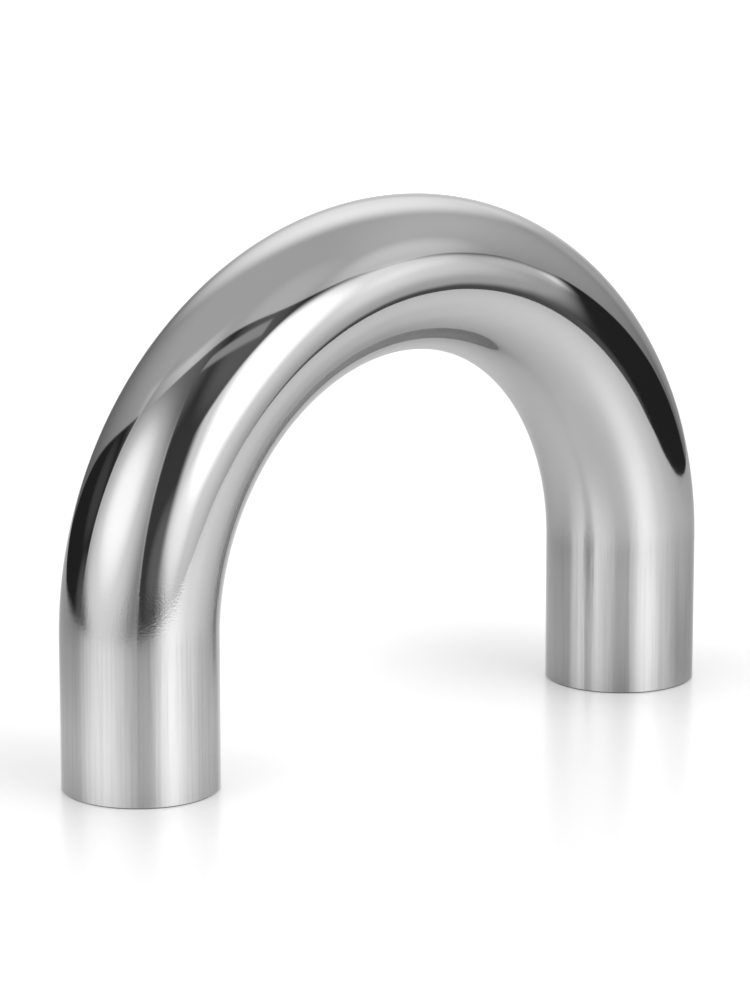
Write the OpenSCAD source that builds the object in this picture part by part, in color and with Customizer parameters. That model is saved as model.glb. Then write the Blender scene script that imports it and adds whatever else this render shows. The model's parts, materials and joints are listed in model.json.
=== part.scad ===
// Return bend: one length of round stainless tube turned through half a circle,
// with a straight leg left at each end for welding or for a slip-on fitting.
// The two legs stand on the plane z = 0, the bend lies in the plane y = 0, and
// the origin is on the ground midway between the legs.

/* [Tube] */
// Outside diameter of the tube
tube_od = 38; // [25:0.5:51]
// Wall thickness of the tube
wall = 1.5; // [1:0.1:3]

/* [Bend] */
// Radius of the bend, from its centre to the middle of the tube
bend_radius = 78; // [57:0.5:120]

/* [Legs] */
// Straight length of tube between the bend and each cut end
leg_length = 36.5; // [10:0.5:120]
// Width of the small chamfer that takes the burr off the rims of a cut end
edge_break = 0.3; // [0.1:0.05:0.45]

/* [Hidden] */

// Half a turn, leg to leg
bend_angle = 180;
tube_r = tube_od / 2;
bore_r = tube_r - wall;
steel = "gainsboro";
$fn = 96;

// Cross-section of the tube, centred on its own axis
module tube_section() {
    difference() {
        circle(r = tube_r);
        circle(r = bore_r);
    }
}

// Half ring of tube, standing on its two ends at z = 0
module half_turn() {
    rotate([90, 0, 0])
        rotate_extrude(angle = bend_angle)
            translate([bend_radius, 0])
                tube_section();
}

// Straight leg on the z axis, with the rims of its lower end chamfered inside and out
module leg() {
    rotate_extrude()
        polygon([
            [bore_r, leg_length],
            [bore_r, edge_break],
            [bore_r + edge_break, 0],
            [tube_r - edge_break, 0],
            [tube_r, edge_break],
            [tube_r, leg_length],
        ]);
}

module return_bend() {
    color(steel)
        union() {
            translate([0, 0, leg_length])
                half_turn();
            for (side = [-1, 1])
                translate([side * bend_radius, 0, 0])
                    leg();
        }
}

return_bend();
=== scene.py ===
"""A mirror-polished stainless return bend, standing on its two cut ends on a pale table.

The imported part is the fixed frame. The bend is modelled again here as one fine, closed tube wall, because
a mirror shows every facet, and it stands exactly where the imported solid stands. All lengths are in metres.
"""

import json
import logging
import math
from collections.abc import Mapping
from dataclasses import dataclass
from enum import Enum

import bpy
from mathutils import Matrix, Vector


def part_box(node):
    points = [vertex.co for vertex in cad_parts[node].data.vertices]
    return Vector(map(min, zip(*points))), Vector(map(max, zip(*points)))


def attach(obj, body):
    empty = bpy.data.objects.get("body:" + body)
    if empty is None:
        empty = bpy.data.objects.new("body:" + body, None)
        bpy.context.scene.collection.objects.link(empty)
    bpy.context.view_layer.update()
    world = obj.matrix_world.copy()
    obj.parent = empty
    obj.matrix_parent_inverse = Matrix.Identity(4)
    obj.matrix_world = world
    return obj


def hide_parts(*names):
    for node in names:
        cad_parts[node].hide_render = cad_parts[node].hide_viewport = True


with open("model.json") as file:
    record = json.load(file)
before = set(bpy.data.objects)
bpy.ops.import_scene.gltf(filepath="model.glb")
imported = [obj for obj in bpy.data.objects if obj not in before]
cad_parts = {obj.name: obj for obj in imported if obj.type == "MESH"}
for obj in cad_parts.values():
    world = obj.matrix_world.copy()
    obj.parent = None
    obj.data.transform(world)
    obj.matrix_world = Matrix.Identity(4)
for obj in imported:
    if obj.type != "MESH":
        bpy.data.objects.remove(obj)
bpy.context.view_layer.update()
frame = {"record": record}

MM = 0.001
BODY = "root"
NODE = "return_bend"

Bearing = tuple[float, float]
Inputs = Mapping[str | int, object]

log = logging.getLogger("return_bend")


class Surface(Enum):
    """Which material slot of the tube each of its surfaces takes."""

    SKIN = 0
    BORE = 1
    RIM = 2


def linear(hex_colour: str) -> tuple[float, float, float, float]:
    """Turns an sRGB hex colour into linear light.

    Args:
        hex_colour: Six hex digits after a number sign.

    Returns:
        Linear red, green, blue and an alpha of 1.
    """
    channels = (int(hex_colour[i : i + 2], 16) / 255 for i in (1, 3, 5))
    red, green, blue = (c / 12.92 if c <= 0.04045 else ((c + 0.055) / 1.055) ** 2.4 for c in channels)
    return (red, green, blue, 1.0)


def heading(bearing: Bearing) -> Vector:
    """Turns an azimuth and an elevation in degrees into a unit vector.

    Args:
        bearing: Azimuth, 0 towards -Y and 90 towards +X, and elevation above the horizon.

    Returns:
        The direction from the object towards that bearing.
    """
    azimuth, elevation = (math.radians(angle) for angle in bearing)
    flat = math.cos(elevation)
    return Vector((math.sin(azimuth) * flat, -math.cos(azimuth) * flat, math.sin(elevation)))


def add_node(tree: bpy.types.NodeTree, kind: str, inputs: Inputs, **settings: object) -> bpy.types.Node:
    """Adds a node, sets its options, and fills or links its inputs.

    Args:
        tree: The node tree that takes the node.
        kind: Blender's name for the type of node.
        inputs: For each input, by name or number, a plain value or the output that feeds it.
        settings: Options of the node itself, such as its operation.

    Returns:
        The new node.
    """
    node = tree.nodes.new(kind)
    for option, value in settings.items():
        setattr(node, option, value)
    for key, value in inputs.items():
        if isinstance(value, bpy.types.NodeSocket):
            tree.links.new(value, node.inputs[key])
        else:
            node.inputs[key].default_value = value
    return node


def new_material(name: str) -> bpy.types.Material:
    """Makes an empty node material.

    Args:
        name: The material's name.

    Returns:
        The material, with no nodes in it.
    """
    material = bpy.data.materials.new(name)
    material.use_nodes = True
    material.node_tree.nodes.clear()
    return material


@dataclass(frozen=True)
class MirrorPolishedSteel:
    """Stainless tube, ground along its length and buffed to a mirror.

    The eye sees sharp reflections on the bend, a softer shine with fine upright lines on the straight legs,
    and a grain where the one turns into the other.
    """

    leg_top: float
    colour: str = "#BFBFBF"
    worn_colour: str = "#B9B9B9"
    edge_tint: str = "#E7E7E7"
    bend_roughness: float = 0.05
    leg_roughness: float = 0.14
    leg_fade: tuple[float, float] = (0 * MM, 21 * MM)
    cloud: float = 20 * MM
    grain: float = 0.5 * MM
    grain_height: float = 0.09 * MM
    line_colour: str = "#B5B5B5"
    line_width: float = 0.7 * MM
    line_length: float = 45 * MM
    line_height: float = 0.035 * MM
    dark_line_from: tuple[float, float] = (0.45, 0.65)
    ripple: float = 18 * MM
    ripple_height: float = 0.05 * MM

    def make(self) -> bpy.types.Material:
        """Builds the finish.

        Returns:
            The material for the outside of the tube.
        """
        material = new_material("mirror_polished_stainless")
        tree = material.node_tree
        place = add_node(tree, "ShaderNodeTexCoord", {}).outputs["Object"]
        height = add_node(tree, "ShaderNodeSeparateXYZ", {"Vector": place}).outputs["Z"]
        on_leg = add_node(
            tree,
            "ShaderNodeMapRange",
            {
                "Value": height,
                "From Min": self.leg_top + self.leg_fade[1],
                "From Max": self.leg_top + self.leg_fade[0],
            },
            interpolation_type="SMOOTHSTEP",
        ).outputs["Result"]
        # buffing leaves cloudy patches a couple of centimetres wide
        cloud = add_node(
            tree, "ShaderNodeTexNoise", {"Vector": place, "Scale": 1 / self.cloud, "Detail": 3.0}
        ).outputs["Fac"]
        tint = add_node(
            tree,
            "ShaderNodeMix",
            {"Factor": cloud, 6: linear(self.colour), 7: linear(self.worn_colour)},
            data_type="RGBA",
        ).outputs[2]
        shine = add_node(
            tree,
            "ShaderNodeMix",
            {"Factor": on_leg, 2: self.bend_roughness, 3: self.leg_roughness},
            data_type="FLOAT",
        ).outputs[0]
        # bending leaves a fine orange peel just above the legs, where the wheel hardly reaches
        on_bend = add_node(
            tree, "ShaderNodeMath", {0: 1.0, 1: on_leg}, operation="SUBTRACT"
        ).outputs["Value"]
        between = add_node(
            tree, "ShaderNodeMath", {0: on_leg, 1: on_bend}, operation="MULTIPLY"
        ).outputs["Value"]
        peel = add_node(
            tree, "ShaderNodeTexNoise", {"Vector": place, "Scale": 1 / self.grain, "Detail": 2.0}
        ).outputs["Fac"]
        grain = add_node(
            tree, "ShaderNodeMath", {0: peel, 1: between}, operation="MULTIPLY"
        ).outputs["Value"]
        # grinding lines run along the legs, drawn wider than the real ones so that they show
        stretched = add_node(
            tree,
            "ShaderNodeMapping",
            {
                "Vector": place,
                "Scale": (1 / self.line_width, 1 / self.line_width, 1 / self.line_length),
            },
        ).outputs["Vector"]
        lines = add_node(
            tree, "ShaderNodeTexNoise", {"Vector": stretched, "Scale": 1.0, "Detail": 3.0}
        ).outputs["Fac"]
        leg_lines = add_node(
            tree, "ShaderNodeMath", {0: lines, 1: on_leg}, operation="MULTIPLY"
        ).outputs["Value"]
        # the strongest lines are a shade darker too
        scored = add_node(
            tree,
            "ShaderNodeMapRange",
            {"Value": leg_lines, "From Min": self.dark_line_from[0], "From Max": self.dark_line_from[1]},
            interpolation_type="SMOOTHSTEP",
        ).outputs["Result"]
        tint = add_node(
            tree,
            "ShaderNodeMix",
            {"Factor": scored, 6: tint, 7: linear(self.line_colour)},
            data_type="RGBA",
        ).outputs[2]
        ripple = add_node(
            tree, "ShaderNodeTexNoise", {"Vector": place, "Scale": 1 / self.ripple, "Detail": 1.0}
        ).outputs["Fac"]
        # the last light polish went round the legs, which smears what they mirror up and down
        upright = add_node(tree, "ShaderNodeCombineXYZ", {"Z": 1.0}).outputs["Vector"]
        surface = None
        for pattern, step in (
            (ripple, self.ripple_height),
            (leg_lines, self.line_height),
            (grain, self.grain_height),
        ):
            feed = {"Height": pattern, "Distance": step, "Strength": 1.0}
            if surface is not None:
                feed["Normal"] = surface
            surface = add_node(tree, "ShaderNodeBump", feed).outputs["Normal"]
        shader = add_node(
            tree,
            "ShaderNodeBsdfPrincipled",
            {
                "Base Color": tint,
                "Metallic": 1.0,
                "Roughness": shine,
                "Specular Tint": linear(self.edge_tint),
                "Anisotropic": on_leg,
                "Tangent": upright,
                "Normal": surface,
            },
        )
        add_node(tree, "ShaderNodeOutputMaterial", {"Surface": shader.outputs["BSDF"]})
        return material


@dataclass(frozen=True)
class PickledSteel:
    """The inside of the tube, as drawn and pickled: an even, dull grey with faint draw lines."""

    colour: str = "#9A9B9B"
    dull_colour: str = "#868787"
    roughness: float = 0.42
    line_width: float = 0.8 * MM
    line_length: float = 60 * MM
    line_height: float = 0.01 * MM

    def make(self) -> bpy.types.Material:
        """Builds the finish.

        Returns:
            The material for the bore.
        """
        material = new_material("pickled_stainless_bore")
        tree = material.node_tree
        place = add_node(tree, "ShaderNodeTexCoord", {}).outputs["Object"]
        stretched = add_node(
            tree,
            "ShaderNodeMapping",
            {
                "Vector": place,
                "Scale": (1 / self.line_width, 1 / self.line_width, 1 / self.line_length),
            },
        ).outputs["Vector"]
        lines = add_node(
            tree, "ShaderNodeTexNoise", {"Vector": stretched, "Scale": 1.0, "Detail": 3.0}
        ).outputs["Fac"]
        tint = add_node(
            tree,
            "ShaderNodeMix",
            {"Factor": lines, 6: linear(self.colour), 7: linear(self.dull_colour)},
            data_type="RGBA",
        ).outputs[2]
        surface = add_node(
            tree, "ShaderNodeBump", {"Height": lines, "Distance": self.line_height, "Strength": 1.0}
        ).outputs["Normal"]
        shader = add_node(
            tree,
            "ShaderNodeBsdfPrincipled",
            {"Base Color": tint, "Metallic": 1.0, "Roughness": self.roughness, "Normal": surface},
        )
        add_node(tree, "ShaderNodeOutputMaterial", {"Surface": shader.outputs["BSDF"]})
        return material


@dataclass(frozen=True)
class FacedSteel:
    """The sawn, faced and deburred end of the tube: bright metal with fine tool marks.

    Its grey is darker than the skin's, partly as duller faced steel and partly as painted shade for the dark
    line where the feet meet the table.
    """

    # painted shade: both greys are kept dark so that the rims draw a dark line where the feet meet the table
    colour: str = "#828282"
    dull_colour: str = "#6C6C6C"
    roughness: float = 0.3
    mark: float = 0.3 * MM

    def make(self) -> bpy.types.Material:
        """Builds the finish.

        Returns:
            The material for the rims.
        """
        material = new_material("faced_stainless_rim")
        tree = material.node_tree
        place = add_node(tree, "ShaderNodeTexCoord", {}).outputs["Object"]
        marks = add_node(
            tree, "ShaderNodeTexNoise", {"Vector": place, "Scale": 1 / self.mark, "Detail": 2.0}
        ).outputs["Fac"]
        tint = add_node(
            tree,
            "ShaderNodeMix",
            {"Factor": marks, 6: linear(self.colour), 7: linear(self.dull_colour)},
            data_type="RGBA",
        ).outputs[2]
        shader = add_node(
            tree,
            "ShaderNodeBsdfPrincipled",
            {"Base Color": tint, "Metallic": 1.0, "Roughness": self.roughness},
        )
        add_node(tree, "ShaderNodeOutputMaterial", {"Surface": shader.outputs["BSDF"]})
        return material


@dataclass(frozen=True)
class Spot:
    """A round patch of light or shade on the table: its centre, its reach and the level that it adds."""

    centre: tuple[float, float, float]
    reach: float
    level: float


@dataclass(frozen=True)
class WhiteLaminate:
    """The table's pale, glossy laminate, which shows soft streaks of what stands on it and of the lights.

    The lift brings the lit table up to white for the camera, less so in the shade beside the feet, and
    further out it runs into the white backdrop. Towards the camera the streaks fade out. The spots do for
    what the metal mirrors what the lift does for the camera: the lamps stand close, so the table is
    brightest in front of them, and darker at the feet. For the metal the shine fades towards the table's
    edge on the right, where it would mirror the dim foot of the lamp.
    """

    colour: str = "#EBEBEB"
    roughness: tuple[float, float] = (0.3, 0.24)
    ior: float = 1.7
    front: Bearing = (-40.55, 0)
    streak_end: tuple[float, float] = (0.05, 0.14)
    streak_level: float = 0.2
    lift: float = 0.37
    backdrop_from: tuple[float, float] = (0.4, 0.8)
    # painted shadows on the floor beside the feet, as dips in the camera's lift
    shades: tuple[Spot, ...] = (
        Spot((-0.088, 0.03, 0), 0.08, -0.17),
        Spot((-0.063, -0.012, 0), 0.045, -0.05),
        Spot((0.068, 0.03, 0), 0.07, -0.19),
        Spot((0.1, -0.018, 0), 0.06, -0.12),
    )
    shine_centre: tuple[float, float, float] = (-0.12, 0, 0)
    shine_end: tuple[float, float] = (0.16, 0.4)
    mirrored_level: float = 0.06
    # painted light and shade on the table, a glow that only the metal mirrors: brighter in front of the
    # lamps, darker at the feet
    spots: tuple[Spot, ...] = (
        Spot((0, -0.17, 0), 0.45, 0.34),
        Spot((-0.14, 0, 0), 0.17, 0.25),
        Spot((-0.078, 0, 0), 0.075, -0.24),
        Spot((0.104, -0.012, 0), 0.09, -0.24),
        Spot((0.185, 0, 0), 0.1, -0.2),
        Spot((0.118, -0.038, 0), 0.04, -0.16),
        Spot((-0.15, -0.05, 0), 0.065, -0.16),
        Spot((0.15, -0.085, 0), 0.06, -0.22),
    )

    def spotted(
        self,
        tree: bpy.types.NodeTree,
        place: bpy.types.NodeSocket,
        level: object,
        spots: tuple[Spot, ...],
    ) -> bpy.types.NodeSocket:
        """Adds round patches of light and shade to an even level.

        Args:
            tree: The node tree that takes the nodes.
            place: The place on the table.
            level: The level away from the patches, as a value or an output.
            spots: The patches.

        Returns:
            The level with the patches added, nowhere below nothing.
        """
        for spot in spots:
            distance = add_node(
                tree, "ShaderNodeVectorMath", {0: place, 1: spot.centre}, operation="DISTANCE"
            ).outputs["Value"]
            shape = add_node(
                tree,
                "ShaderNodeMapRange",
                {"Value": distance, "From Min": spot.reach, "From Max": 0.0},
                interpolation_type="SMOOTHSTEP",
            ).outputs["Result"]
            level = add_node(
                tree, "ShaderNodeMath", {0: shape, 1: spot.level, 2: level}, operation="MULTIPLY_ADD"
            ).outputs["Value"]
        return add_node(tree, "ShaderNodeMath", {0: level, 1: 0.0}, operation="MAXIMUM").outputs["Value"]

    def make(self) -> bpy.types.Material:
        """Builds the finish.

        Returns:
            The material for the table and the floor around it.
        """
        material = new_material("white_laminate")
        tree = material.node_tree
        path = add_node(tree, "ShaderNodeLightPath", {})
        seen = path.outputs["Is Camera Ray"]
        place = add_node(tree, "ShaderNodeTexCoord", {}).outputs["Object"]
        forward = add_node(
            tree, "ShaderNodeVectorMath", {0: place, 1: heading(self.front)}, operation="DOT_PRODUCT"
        ).outputs["Value"]
        streak = add_node(
            tree,
            "ShaderNodeMapRange",
            {
                "Value": forward,
                "From Min": self.streak_end[1],
                "From Max": self.streak_end[0],
                "To Max": self.streak_level,
            },
            interpolation_type="SMOOTHSTEP",
        ).outputs["Result"]
        away = add_node(
            tree, "ShaderNodeVectorMath", {0: place, 1: self.shine_centre}, operation="DISTANCE"
        ).outputs["Value"]
        shine = add_node(
            tree,
            "ShaderNodeMapRange",
            {"Value": away, "From Min": self.shine_end[1], "From Max": self.shine_end[0]},
            interpolation_type="SMOOTHSTEP",
        ).outputs["Result"]
        dullness = add_node(
            tree,
            "ShaderNodeMix",
            {"Factor": seen, 2: self.roughness[0], 3: self.roughness[1]},
            data_type="FLOAT",
        ).outputs[0]
        # the metal sees the laminate's own shine and the clear coat's over it
        gloss, coat = (
            add_node(
                tree,
                "ShaderNodeMix",
                {"Factor": seen, 2: shine, 3: for_camera},
                data_type="FLOAT",
            ).outputs[0]
            for for_camera in (streak, 0.0)
        )
        shader = add_node(
            tree,
            "ShaderNodeBsdfPrincipled",
            {
                "Base Color": linear(self.colour),
                "Roughness": dullness,
                "IOR": self.ior,
                "Specular IOR Level": gloss,
                "Coat Weight": coat,
                "Coat Roughness": self.roughness[0],
                "Coat IOR": self.ior,
            },
        )
        mirrored = add_node(
            tree,
            "ShaderNodeMath",
            {0: path.outputs["Is Glossy Ray"], 1: path.outputs["Is Transmission Ray"]},
            operation="MAXIMUM",
        ).outputs["Value"]
        # the painted spots glow only for rays that the metal mirrors
        in_metal = add_node(
            tree,
            "ShaderNodeMath",
            {0: mirrored, 1: self.spotted(tree, place, self.mirrored_level, self.spots)},
            operation="MULTIPLY",
        ).outputs["Value"]
        # far out the camera sees plain white, which is a strength of 1
        outward = add_node(tree, "ShaderNodeVectorMath", {0: place}, operation="LENGTH").outputs["Value"]
        lift = add_node(
            tree,
            "ShaderNodeMapRange",
            {
                "Value": outward,
                "From Min": self.backdrop_from[0],
                "From Max": self.backdrop_from[1],
                "To Min": self.lift,
                "To Max": 1.0,
            },
            interpolation_type="SMOOTHSTEP",
        ).outputs["Result"]
        # painted shadows: the shade spots lower the camera's lift beside the feet
        strength = add_node(
            tree,
            "ShaderNodeMath",
            {0: seen, 1: self.spotted(tree, place, lift, self.shades), 2: in_metal},
            operation="MULTIPLY_ADD",
        ).outputs["Value"]
        glow = add_node(tree, "ShaderNodeEmission", {"Strength": strength})
        both = add_node(
            tree, "ShaderNodeAddShader", {0: shader.outputs["BSDF"], 1: glow.outputs["Emission"]}
        )
        add_node(tree, "ShaderNodeOutputMaterial", {"Surface": both.outputs["Shader"]})
        return material


@dataclass
class BentTube:
    """The return bend: one tube wall, from the left cut end round the half turn to the right one."""

    tube_radius: float
    bore_radius: float
    bend_radius: float
    leg_length: float
    edge_break: float
    facets_around: int = 160
    steps_along: int = 220
    weld: float = 0.001 * MM
    rim_angle: float = 60
    smooth_angle: float = 30

    @classmethod
    def from_frame(cls) -> "BentTube":
        """Takes the tube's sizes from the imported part.

        Returns:
            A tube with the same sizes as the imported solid.
        """
        mounts = {mount["name"]: mount for mount in frame["record"]["mounts"]}
        tube_radius = mounts["left_spigot"]["dims"]["r_mm"] * MM
        bore = mounts["left_bore"]
        bend_radius = abs(bore["pos_m"][0])
        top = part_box(NODE)[1][2]
        leg_length = round((top - bend_radius - tube_radius) / MM, 1) * MM
        return cls(
            tube_radius=tube_radius,
            bore_radius=bore["dims"]["r_mm"] * MM,
            bend_radius=bend_radius,
            leg_length=leg_length,
            edge_break=leg_length - bore["dims"]["length_mm"] * MM,
        )

    def build(self) -> bpy.types.Object:
        """Models the tube: a ring drawn up the left leg, round the bend and down the right leg.

        Returns:
            The finished mesh object, at the origin.
        """
        bpy.ops.object.select_all(action="DESELECT")
        bpy.ops.mesh.primitive_circle_add(
            vertices=self.facets_around, radius=self.tube_radius, location=(-self.bend_radius, 0, 0)
        )
        tube = bpy.context.object
        tube.name = "return_bend_tube"
        bpy.ops.object.transform_apply(location=True, rotation=True, scale=True)
        bpy.ops.object.mode_set(mode="EDIT")
        bpy.ops.mesh.select_all(action="SELECT")
        bpy.ops.mesh.extrude_region_move(TRANSFORM_OT_translate={"value": (0, 0, self.leg_length)})
        bpy.ops.mesh.spin(
            steps=self.steps_along, angle=-math.pi, center=(0, 0, self.leg_length), axis=(0, 1, 0)
        )
        bpy.ops.mesh.extrude_region_move(TRANSFORM_OT_translate={"value": (0, 0, -self.leg_length)})
        bpy.ops.mesh.select_all(action="SELECT")
        bpy.ops.mesh.remove_doubles(threshold=self.weld)
        bpy.ops.mesh.normals_make_consistent(inside=False)
        bpy.ops.object.mode_set(mode="OBJECT")
        return tube

    def give_wall(self, tube: bpy.types.Object) -> None:
        """Gives the skin its wall, and takes the burr off the rims.

        Args:
            tube: The tube's outer skin.
        """
        wall = tube.modifiers.new("wall", "SOLIDIFY")
        wall.thickness = self.tube_radius - self.bore_radius
        wall.offset = -1
        wall.use_even_offset = True
        wall.material_offset = Surface.BORE.value
        wall.material_offset_rim = Surface.RIM.value
        bpy.ops.object.modifier_apply(modifier=wall.name)
        rim = tube.modifiers.new("rim", "BEVEL")
        rim.width = self.edge_break
        rim.segments = 1
        rim.limit_method = "ANGLE"
        rim.angle_limit = math.radians(self.rim_angle)
        rim.material = Surface.RIM.value
        bpy.ops.object.modifier_apply(modifier=rim.name)
        bpy.ops.object.shade_smooth_by_angle(angle=math.radians(self.smooth_angle))

    def dress(self, tube: bpy.types.Object) -> None:
        """Gives each surface its finish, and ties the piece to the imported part.

        Args:
            tube: The finished tube.
        """
        finishes = {
            Surface.SKIN: MirrorPolishedSteel(leg_top=self.leg_length),
            Surface.BORE: PickledSteel(),
            Surface.RIM: FacedSteel(),
        }
        for surface in Surface:
            tube.data.materials.append(finishes[surface].make())
        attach(tube, BODY)
        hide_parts(NODE)

    def make(self) -> bpy.types.Object:
        """Builds and dresses the tube.

        Returns:
            The finished piece.
        """
        tube = self.build()
        self.dress(tube)
        self.give_wall(tube)
        return tube


@dataclass
class TableTop:
    """A round table under the object, and the floor around it that the camera sees carry on.

    The object stands nearer to the table's left edge than to its right.
    """

    centre: tuple[float, float, float] = (0.085, 0.07, 0)
    radius: float = 0.37
    floor_radius: float = 4.0
    facets: int = 96

    def disc(self, name: str, fill: str) -> bpy.types.Object:
        """Models a flat disc or circle with the table's outline.

        Args:
            name: The object's name.
            fill: How the circle is filled, as Blender names it.

        Returns:
            The disc, with its origin at the world's.
        """
        bpy.ops.object.select_all(action="DESELECT")
        bpy.ops.mesh.primitive_circle_add(
            vertices=self.facets, radius=self.radius, fill_type=fill, location=self.centre
        )
        disc = bpy.context.object
        disc.name = name
        bpy.ops.object.transform_apply(location=True, rotation=True, scale=True)
        return disc

    def make(self) -> list[bpy.types.Object]:
        """Builds and dresses the table and the floor.

        Returns:
            The table and the floor.
        """
        table = self.disc("table_top", "NGON")
        floor = self.disc("studio_floor", "NOTHING")
        bpy.ops.object.mode_set(mode="EDIT")
        bpy.ops.mesh.select_all(action="SELECT")
        bpy.ops.mesh.extrude_edges_move()
        widen = self.floor_radius / self.radius
        bpy.ops.transform.resize(value=(widen, widen, 1), center_override=self.centre)
        bpy.ops.mesh.select_all(action="SELECT")
        bpy.ops.mesh.normals_make_consistent(inside=False)
        bpy.ops.object.mode_set(mode="OBJECT")
        # the metal mirrors the table's edge and the dark room beyond it, not the floor
        floor.visible_glossy = False
        laminate = WhiteLaminate().make()
        for part in (table, floor):
            part.data.materials.append(laminate)
        return [table, floor]


@dataclass(frozen=True)
class Pool:
    """A round pool of light: its bearing, its reach in degrees and the level that it adds."""

    bearing: Bearing
    reach: float
    level: float


@dataclass(frozen=True)
class Panel:
    """A lit panel with straight edges, as the object sees it.

    Edges and lips go round with the corners. An edge is half the width, in degrees, over which the panel
    ends, and a lip is the level that a bright frame adds along that edge.
    """

    corners: tuple[Bearing, ...]
    level: float
    edges: tuple[float, ...] = (1, 1, 1, 1)
    lips: tuple[float, ...] = (0, 0, 0, 0, 0, 0)
    lip_width: float = 1.8
    pools: tuple[Pool, ...] = ()

    def edge_normals(self) -> list[Vector]:
        """Finds the planes through the object and the panel's edges.

        Returns:
            A unit vector for each edge, pointing to the lit side.
        """
        points = [heading(corner) for corner in self.corners]
        middle = sum(points, Vector())
        normals = []
        for start, end in zip(points, points[1:] + points[:1]):
            normal = start.cross(end).normalized()
            normals.append(normal if normal.dot(middle) > 0 else -normal)
        return normals


@dataclass(frozen=True)
class Sheet:
    """The curved diffuser overhead: a hem that arches over the front, and a fall to the backdrop behind.

    The hem's height is the crest's times the cosine of the turn away from the crest, stretched on each side,
    and each sag lowers the hem around an azimuth by its level in degrees.
    """

    crest: Bearing = (-46, 65)
    left_stretch: float = 0.65
    right_stretch: float = 0.745
    sags: tuple[Pool, ...] = (Pool((25, 0), 38, 3.5), Pool((37, 0), 10, 1.8), Pool((97, 0), 42, -13))
    edge: float = 0.6
    levels: tuple[float, float] = (0.2, 0.66)
    fade: tuple[float, float] = (-14, 54)
    band: float = 12
    band_edge: float = 6
    band_pool: Pool = Pool((-105, 53), 30, 0.36)
    seam: float = 5
    seam_pool: Pool = Pool((49, 20), 13, 0.85)
    glint: float = 1.5
    glint_pool: Pool = Pool((57.5, 11.5), 6, 0.9)
    pools: tuple[Pool, ...] = (
        Pool((0, 56), 22, 0.14),
        Pool((38, 32), 20, 0.36),
        Pool((75, 30), 45, 0.16),
        Pool((116, 6), 22, 0.33),
        Pool((140, 33), 34, 1.0),
    )


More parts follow.
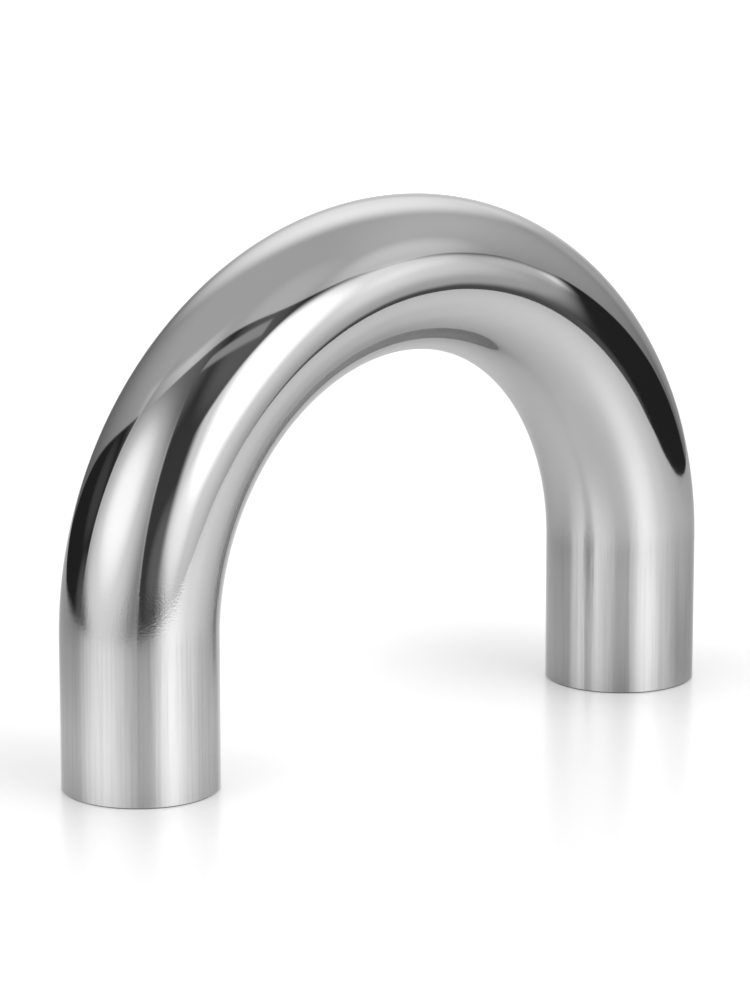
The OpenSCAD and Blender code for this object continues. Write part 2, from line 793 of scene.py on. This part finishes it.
@dataclass
class Sky:
    """Draws light by direction. Levels are radiance, where 1 is white paper in this light."""

    tree: bpy.types.NodeTree
    ray: bpy.types.NodeSocket

    def pool(self, pool: Pool, under: object) -> bpy.types.NodeSocket:
        """Adds a round pool of light that fades towards its rim.

        Args:
            pool: The pool to draw.
            under: The level below it, as a value or an output.

        Returns:
            The level with the pool of light added.
        """
        close = add_node(
            self.tree,
            "ShaderNodeVectorMath",
            {0: self.ray, 1: heading(pool.bearing)},
            operation="DOT_PRODUCT",
        ).outputs["Value"]
        shape = add_node(
            self.tree,
            "ShaderNodeMapRange",
            {"Value": close, "From Min": math.cos(math.radians(pool.reach)), "From Max": 1.0},
            interpolation_type="SMOOTHSTEP",
        ).outputs["Result"]
        return add_node(
            self.tree, "ShaderNodeMath", {0: shape, 1: pool.level, 2: under}, operation="MULTIPLY_ADD"
        ).outputs["Value"]

    def panel(self, panel: Panel) -> tuple[bpy.types.NodeSocket, object]:
        """Draws a lit panel.

        Args:
            panel: The panel to draw.

        Returns:
            How far a direction lies inside the panel, from 0 to 1, and the panel's level there.
        """
        level = panel.level
        for pool in panel.pools:
            level = self.pool(pool, level)
        inside = 1.0
        for normal, edge, lip in zip(panel.edge_normals(), panel.edges, panel.lips):
            depth = add_node(
                self.tree, "ShaderNodeVectorMath", {0: self.ray, 1: normal}, operation="DOT_PRODUCT"
            ).outputs["Value"]
            lit = add_node(
                self.tree,
                "ShaderNodeMapRange",
                {"Value": depth, "From Min": -math.radians(edge), "From Max": math.radians(edge)},
                interpolation_type="SMOOTHSTEP",
            ).outputs["Result"]
            inside = add_node(
                self.tree, "ShaderNodeMath", {0: lit, 1: inside}, operation="MULTIPLY"
            ).outputs["Value"]
            if lip:
                frame_light = add_node(
                    self.tree,
                    "ShaderNodeMapRange",
                    {
                        "Value": depth,
                        "From Min": math.radians(panel.lip_width + edge),
                        "From Max": math.radians(panel.lip_width - edge),
                        "To Max": lip,
                    },
                    interpolation_type="SMOOTHSTEP",
                ).outputs["Result"]
                level = add_node(
                    self.tree, "ShaderNodeMath", {0: frame_light, 1: level}, operation="ADD"
                ).outputs["Value"]
        return inside, level

    def above_hem(self, sheet: Sheet, elevation: bpy.types.NodeSocket) -> bpy.types.NodeSocket:
        """Finds how far a direction lies above the sheet's hem.

        Args:
            sheet: The sheet.
            elevation: The direction's elevation, in radians.

        Returns:
            The angle above the hem, in radians.
        """
        crest_azimuth, crest_height = sheet.crest
        sides = (
            add_node(
                self.tree,
                "ShaderNodeVectorMath",
                {0: self.ray, 1: heading((crest_azimuth + turned, 0))},
                operation="DOT_PRODUCT",
            ).outputs["Value"]
            for turned in (90, 0)
        )
        turn = add_node(
            self.tree, "ShaderNodeMath", dict(enumerate(sides)), operation="ARCTAN2"
        ).outputs["Value"]
        either_way = add_node(self.tree, "ShaderNodeMath", {0: turn}, operation="ABSOLUTE").outputs["Value"]
        uneven = add_node(
            self.tree,
            "ShaderNodeMath",
            {0: either_way, 1: (sheet.right_stretch - sheet.left_stretch) / 2},
            operation="MULTIPLY",
        ).outputs["Value"]
        stretched = add_node(
            self.tree,
            "ShaderNodeMath",
            {0: turn, 1: (sheet.right_stretch + sheet.left_stretch) / 2, 2: uneven},
            operation="MULTIPLY_ADD",
        ).outputs["Value"]
        arch = add_node(self.tree, "ShaderNodeMath", {0: stretched}, operation="COSINE").outputs["Value"]
        above = add_node(
            self.tree,
            "ShaderNodeMath",
            {0: arch, 1: -math.radians(crest_height), 2: elevation},
            operation="MULTIPLY_ADD",
        ).outputs["Value"]
        for sag in sheet.sags:
            from_sag = add_node(
                self.tree,
                "ShaderNodeMath",
                {0: turn, 1: math.radians(sag.bearing[0] - crest_azimuth)},
                operation="SUBTRACT",
            ).outputs["Value"]
            off_sag = add_node(
                self.tree, "ShaderNodeMath", {0: from_sag}, operation="ABSOLUTE"
            ).outputs["Value"]
            dip = add_node(
                self.tree,
                "ShaderNodeMapRange",
                {
                    "Value": off_sag,
                    "From Min": math.radians(sag.reach),
                    "From Max": 0.0,
                    "To Max": math.radians(sag.level),
                },
                interpolation_type="SMOOTHSTEP",
            ).outputs["Result"]
            above = add_node(
                self.tree, "ShaderNodeMath", {0: above, 1: dip}, operation="ADD"
            ).outputs["Value"]
        return above

    def sheet(self, sheet: Sheet, under: bpy.types.NodeSocket) -> bpy.types.NodeSocket:
        """Hangs the sheet over the room, with a bright band behind its hem.

        Args:
            sheet: The sheet to draw.
            under: The level below and in front of the sheet.

        Returns:
            The level with the sheet laid over it.
        """
        height = add_node(self.tree, "ShaderNodeSeparateXYZ", {"Vector": self.ray}).outputs["Z"]
        elevation = add_node(self.tree, "ShaderNodeMath", {0: height}, operation="ARCSINE").outputs["Value"]
        above = self.above_hem(sheet, elevation)
        level = add_node(
            self.tree,
            "ShaderNodeMapRange",
            {
                "Value": elevation,
                "From Min": math.radians(sheet.fade[0]),
                "From Max": math.radians(sheet.fade[1]),
                "To Min": sheet.levels[0],
                "To Max": sheet.levels[1],
            },
            interpolation_type="SMOOTHSTEP",
        ).outputs["Result"]
        for pool in sheet.pools:
            level = self.pool(pool, level)
        band = add_node(
            self.tree,
            "ShaderNodeMapRange",
            {
                "Value": above,
                "From Min": math.radians(sheet.band),
                "From Max": math.radians(sheet.band - sheet.band_edge),
            },
            interpolation_type="SMOOTHSTEP",
        ).outputs["Result"]
        level = add_node(
            self.tree,
            "ShaderNodeMath",
            {0: band, 1: self.pool(sheet.band_pool, 0.0), 2: level},
            operation="MULTIPLY_ADD",
        ).outputs["Value"]
        # just below the hem the light is blocked for a short stretch, and leaks through further along
        shade, leak, inside = (
            add_node(
                self.tree,
                "ShaderNodeMapRange",
                {
                    "Value": above,
                    "From Min": -math.radians(reach),
                    "From Max": math.radians(sheet.edge),
                    "To Max": top,
                },
                interpolation_type="SMOOTHSTEP",
            ).outputs["Result"]
            for reach, top in ((sheet.seam, -1.0), (sheet.glint, 1.0), (sheet.edge, 1.0))
        )
        passed = add_node(
            self.tree,
            "ShaderNodeMath",
            {0: shade, 1: self.pool(sheet.seam_pool, 0.0), 2: 1.0},
            operation="MULTIPLY_ADD",
        ).outputs["Value"]
        under = add_node(
            self.tree, "ShaderNodeMath", {0: under, 1: passed}, operation="MULTIPLY"
        ).outputs["Value"]
        under = add_node(
            self.tree,
            "ShaderNodeMath",
            {0: leak, 1: self.pool(sheet.glint_pool, 0.0), 2: under},
            operation="MULTIPLY_ADD",
        ).outputs["Value"]
        return add_node(
            self.tree, "ShaderNodeMix", {"Factor": inside, 2: under, 3: level}, data_type="FLOAT"
        ).outputs[0]


@dataclass(frozen=True)
class SoftBox:
    """A large soft box close to the object, hung as a flat sheet of light.

    The panel is drawn as the eye point sees it, so each place on the object sees it a little shifted.
    """

    name: str
    panel: Panel
    facing: Bearing
    eye: tuple[float, float, float] = (0, 0, 60 * MM)
    distance: float = 0.9
    size: float = 3.0

    def light(self) -> bpy.types.Material:
        """Makes the light as a material that is clear outside the panel.

        Returns:
            The material.
        """
        material = new_material(self.name)
        tree = material.node_tree
        place = add_node(tree, "ShaderNodeTexCoord", {}).outputs["Object"]
        offset = add_node(
            tree, "ShaderNodeVectorMath", {0: place, 1: self.eye}, operation="SUBTRACT"
        ).outputs["Vector"]
        ray = add_node(tree, "ShaderNodeVectorMath", {0: offset}, operation="NORMALIZE").outputs["Vector"]
        inside, level = Sky(tree, ray).panel(self.panel)
        glow = add_node(tree, "ShaderNodeEmission", {"Strength": level}).outputs["Emission"]
        clear = add_node(tree, "ShaderNodeBsdfTransparent", {}).outputs["BSDF"]
        light = add_node(tree, "ShaderNodeMixShader", {"Fac": inside, 1: clear, 2: glow})
        add_node(tree, "ShaderNodeOutputMaterial", {"Surface": light.outputs["Shader"]})
        return material

    def make(self) -> bpy.types.Object:
        """Hangs the soft box beside the object, out of the camera's sight.

        Returns:
            The sheet of light.
        """
        bpy.ops.object.select_all(action="DESELECT")
        way = heading(self.facing)
        bpy.ops.mesh.primitive_plane_add(
            size=self.size,
            location=Vector(self.eye) + way * self.distance,
            rotation=(-way).to_track_quat("Z", "Y").to_euler(),
        )
        box = bpy.context.object
        box.name = self.name
        bpy.ops.object.transform_apply(location=True, rotation=True, scale=True)
        box.visible_camera = False
        box.data.materials.append(self.light())
        return box


@dataclass(frozen=True)
class Studio:
    """A small product studio: two soft boxes close by, and in the world a sheet overhead in a dark room."""

    room_level: float = 0.028
    spill: tuple[Pool, ...] = (
        Pool((-96, 47), 40, 0.21),
        Pool((-10, 47), 22, 0.13),
        Pool((-35, 5), 60, 0.045),
        Pool((-143, 15), 13, 0.06),
        Pool((-134, -5), 12, 0.1),
        Pool((-24, 3), 14, 0.13),
        Pool((40.5, -16), 6.5, 0.09),
    )
    strip: Panel = Panel(corners=((-56, 55.5), (-52, 59.5), (1, 48.3), (-2, 42.5)), level=0.45)
    boxes: tuple[SoftBox, ...] = (
        SoftBox(
            name="left_soft_box",
            panel=Panel(
                corners=((-126.9, 47.4), (-55, 38.6), (-42.7, -12.8), (-110, -15.3), (-127.6, 0.5)),
                level=0.39,
                edges=(10, 1, 1, 7.5, 1),
                lips=(0, 0.2, 0, 0, 0.2),
                pools=(Pool((-91.5, 12.9), 45, 0.94), Pool((-91.3, 20.6), 23.8, 0.58)),
            ),
            facing=(-88, 10),
        ),
        SoftBox(
            name="front_soft_box",
            panel=Panel(
                corners=((-22.8, 28.4), (7, 40.5), (61, 11.6), (38.2, -12.8), (-9.1, -14.4), (-22.8, -1.2)),
                level=0.61,
                edges=(1.5, 3, 2, 2, 8, 3.5),
                pools=(
                    Pool((7, 19.8), 45, 0.7),
                    Pool((7, 20.2), 22, 1.5),
                    Pool((-6, 4.5), 17, 0.46),
                    Pool((35.1, 23.2), 13, 0.25),
                    Pool((38.6, 11.2), 14, 0.26),
                    Pool((56.2, 14), 10, 0.25),
                    Pool((59.5, 10), 5, 0.5),
                ),
            ),
            facing=(20, 8),
        ),
    )
    sheet: Sheet = Sheet()
    backdrop: Pool = Pool((137, 2), 21, 1.0)

    def make(self) -> bpy.types.World:
        """Builds the studio as the scene's world, and a white backdrop.

        Returns:
            The world.
        """
        world = bpy.data.worlds.new("product_studio")
        bpy.context.scene.world = world
        world.use_nodes = True
        tree = world.node_tree
        tree.nodes.clear()
        sky = Sky(tree, add_node(tree, "ShaderNodeTexCoord", {}).outputs["Generated"])
        level = self.room_level
        for pool in self.spill:
            level = sky.pool(pool, level)
        inside, strip_level = sky.panel(self.strip)
        level = add_node(
            tree, "ShaderNodeMix", {"Factor": inside, 2: level, 3: strip_level}, data_type="FLOAT"
        ).outputs[0]
        level = sky.sheet(self.sheet, level)
        studio = add_node(tree, "ShaderNodeBackground", {"Color": (1, 1, 1, 1), "Strength": level})
        white = add_node(tree, "ShaderNodeBackground", {"Color": (1, 1, 1, 1), "Strength": 1.0})
        # the camera sees white all round, and the metal mirrors it where it hangs behind the object
        path = add_node(tree, "ShaderNodeLightPath", {})
        mirrored = add_node(
            tree,
            "ShaderNodeMath",
            {0: path.outputs["Is Glossy Ray"], 1: path.outputs["Is Transmission Ray"]},
            operation="MAXIMUM",
        ).outputs["Value"]
        behind = add_node(
            tree, "ShaderNodeMath", {0: mirrored, 1: sky.pool(self.backdrop, 0.0)}, operation="MULTIPLY"
        ).outputs["Value"]
        seen = add_node(
            tree, "ShaderNodeMath", {0: path.outputs["Is Camera Ray"], 1: behind}, operation="MAXIMUM"
        ).outputs["Value"]
        view = add_node(
            tree,
            "ShaderNodeMixShader",
            {"Fac": seen, 1: studio.outputs["Background"], 2: white.outputs["Background"]},
        )
        add_node(tree, "ShaderNodeOutputWorld", {"Surface": view.outputs["Shader"]})
        return world


@dataclass(frozen=True)
class Viewpoint:
    """The photograph's camera: a long lens a little over a metre away, looking slightly down."""

    bearing: Bearing = (-40.55, 13.18)
    distance: float = 1.1828
    aim: tuple[float, float, float] = (0.0056, 0.0122, 0.0550)
    lens: float = 171.7

    def make(self) -> bpy.types.Object:
        """Places the camera and makes it the scene's own.

        Returns:
            The camera.
        """
        data = bpy.data.cameras.new("photo_camera")
        data.lens = self.lens
        camera = bpy.data.objects.new("photo_camera", data)
        bpy.context.scene.collection.objects.link(camera)
        back = heading(self.bearing)
        camera.location = Vector(self.aim) + back * self.distance
        camera.rotation_euler = (-back).to_track_quat("-Z", "Y").to_euler()
        bpy.context.scene.camera = camera
        return camera


def main() -> None:
    """Builds the piece and its studio."""
    logging.basicConfig(level=logging.INFO, format="%(name)s: %(message)s")
    tube = BentTube.from_frame().make()
    log.info("piece %s: %d faces", tube.name, len(tube.data.polygons))
    for part in TableTop().make():
        log.info("stage %s", part.name)
    studio = Studio()
    log.info("world %s", studio.make().name)
    for box in studio.boxes:
        log.info("stage %s", box.make().name)
    log.info("camera %s", Viewpoint().make().name)
    bpy.context.scene.view_settings.view_transform = "Standard"


if __name__ == "__main__":
    main()
